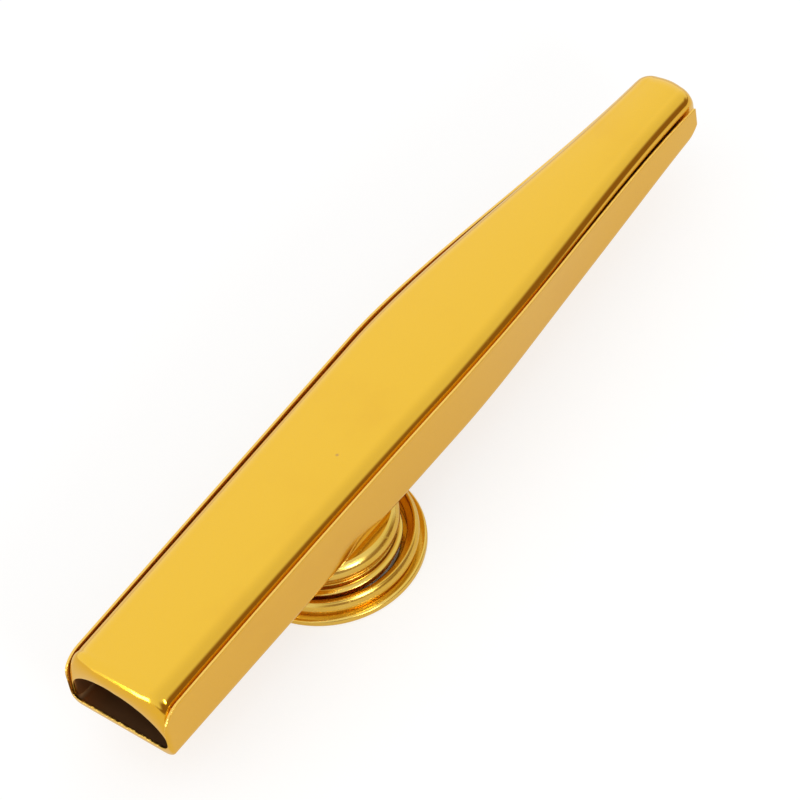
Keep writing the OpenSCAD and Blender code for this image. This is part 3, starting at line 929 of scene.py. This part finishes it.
# Studio: a plain pale floor in a white light tent; in reflections the floor carries painted shade.
# The tent is open towards the kazoo's near side, where the room behind the camera is dim and
# brown.
# One soft lamp stands on that side and one beyond the mouth.
floor_reach = 3.0
floor_mesh = bpy.data.meshes.new("floor")
floor_mesh.from_pydata([(-floor_reach, -floor_reach, 0), (floor_reach, -floor_reach, 0),
                        (floor_reach, floor_reach, 0), (-floor_reach, floor_reach, 0)],
                       [], [(0, 1, 2, 3)])
floor = bpy.data.objects.new("floor", floor_mesh)
bpy.context.scene.collection.objects.link(floor)

black = (0.0, 0.0, 0.0)
white_level = (1.0, 1.0, 1.0)
dim_room = (0.27, 0.15, 0.065)
tent_shade = (0.84, 0.82, 0.80)
floor_shade = (0.80, 0.80, 0.80)
floor_pale = (0.82, 0.82, 0.82)
floor_glow = (0.66, 0.66, 0.66)
# Painted shade: the warm grey glow that the metal sees on the floor stands in for the kazoo's
# shadow and bounce.
floor_painted_shade = (0.45, 0.355, 0.17)
floor_grey = (0.36, 0.36, 0.36)
dimming_from_y = -0.045
dim_beyond_y = -0.075


def make_floor():
    """Pale and matt. The camera gets most of its white as a level of its own, under the shadow.
    The metal sees painted shade: a warmer grey for the kazoo's shadow and bounce on the floor,
    fading into a painted reflection of the dim room on the near side."""
    material, wire = new_material("floor")
    camera_ray, mirrored_ray, through_ray = (
        wire.node("ShaderNodeLightPath", output=kind)
        for kind in ("Is Camera Ray", "Is Glossy Ray", "Is Transmission Ray"))
    seen = camera_ray.maximum(mirrored_ray).maximum(through_ray)
    place = wire.node("ShaderNodeTexCoord", output="Object")
    across = wire.node("ShaderNodeSeparateXYZ", None, {0: place}, output="Y")
    # Painted reflection: on the near side, mirrored rays see the floor turn into the dim room.
    dim = across.rise(dimming_from_y, dim_beyond_y) * mirrored_ray
    grain = wire.noise((30, 30, 30), detail=3.0)
    colour = wire.blend(floor_shade, floor_pale, grain)
    colour = wire.blend(wire.blend(colour, floor_grey, seen), black, dim)
    # The glow that mirrored rays get is painted shade, and then the painted dim room.
    glow = wire.blend(floor_glow, floor_painted_shade, mirrored_ray)
    glow = wire.blend(glow, dim_room, dim)
    pale = wire.node("ShaderNodeBsdfDiffuse", None, {"Color": colour})
    white = wire.node("ShaderNodeEmission", None, {"Color": glow, "Strength": seen})
    surface = wire.node("ShaderNodeAddShader", None, {0: pale, 1: white})
    wire.node("ShaderNodeOutputMaterial", None, {"Surface": surface})
    return material


floor_mesh.materials.append(make_floor())


def make_tent(sky):
    """White for the camera. For light it is white too, shading off towards the near side, and
    mirrored rays see the dim room low down on that side."""
    toward = sky.node("ShaderNodeTexCoord", output="Generated")
    across = sky.node("ShaderNodeSeparateXYZ", None, {0: toward}, output="Y")
    upward = sky.node("ShaderNodeSeparateXYZ", None, {0: toward}, output="Z")
    tent = sky.blend(white_level, tent_shade, across.rise(low=0.5, high=-0.7))
    mirrored_ray = sky.node("ShaderNodeLightPath", output="Is Glossy Ray")
    opening = across.rise(low=-0.30, high=-0.66) * upward.rise(low=0.50, high=0.24)
    tent = sky.blend(tent, dim_room, opening * mirrored_ray)
    camera_ray = sky.node("ShaderNodeLightPath", output="Is Camera Ray")
    white = sky.node("ShaderNodeBackground", None, {"Color": (*white_level, 1.0), "Strength": 1.0})
    light = sky.node("ShaderNodeBackground", None, {"Color": tent, "Strength": 1.0})
    surface = sky.node("ShaderNodeMixShader", None, {0: camera_ray, 1: light, 2: white})
    sky.node("ShaderNodeOutputWorld", None, {"Surface": surface})


world = bpy.data.worlds.new("studio")
world.use_nodes = True
world.node_tree.nodes.clear()
bpy.context.scene.world = world
make_tent(Wire(world.node_tree))


def softbox(name, toward, distance, size, level):
    """A square lamp in a direction from the kazoo, turned to it, whose face has a radiance of
    level: its power is pi times its area times level."""
    lamp = bpy.data.lights.new(name, "AREA")
    lamp.size = size
    lamp.energy = level * math.pi * size * size
    box = bpy.data.objects.new(name, lamp)
    place = Vector(toward).normalized() * distance
    box.location = place
    box.rotation_mode = "QUATERNION"
    box.rotation_quaternion = (-place).to_track_quat("-Z", "Y")
    bpy.context.scene.collection.objects.link(box)


softbox("near_lamp", toward=(-0.29, -0.86, 0.40), distance=0.7, size=0.20, level=10.0)
softbox("mouth_lamp", toward=(-0.93, 0.22, 0.10), distance=0.7, size=0.18, level=7.5)

# Camera: a long lens above the mouth end, at the photograph's angle. Light bounces often
# between the halves' walls and in the thread's gap, which are black with fewer glossy bounces.
camera_at = Vector((-0.24134, -0.23603, 0.41423))
camera_aim = Vector((-0.0064, -0.0040, 0.018))
camera_roll = math.radians(-10.3)
lens = bpy.data.cameras.new("camera")
lens.sensor_width = 36
lens.lens = 180
camera = bpy.data.objects.new("camera", lens)
bpy.context.scene.collection.objects.link(camera)
camera.rotation_mode = "QUATERNION"
camera.location = camera_at
level_view = (camera_aim - camera_at).to_track_quat("-Z", "Y")
camera.rotation_quaternion = level_view @ Quaternion((0, 0, 1), camera_roll)
bpy.context.scene.camera = camera
bpy.context.scene.view_settings.view_transform = "Standard"
bpy.context.scene.cycles.glossy_bounces = 12
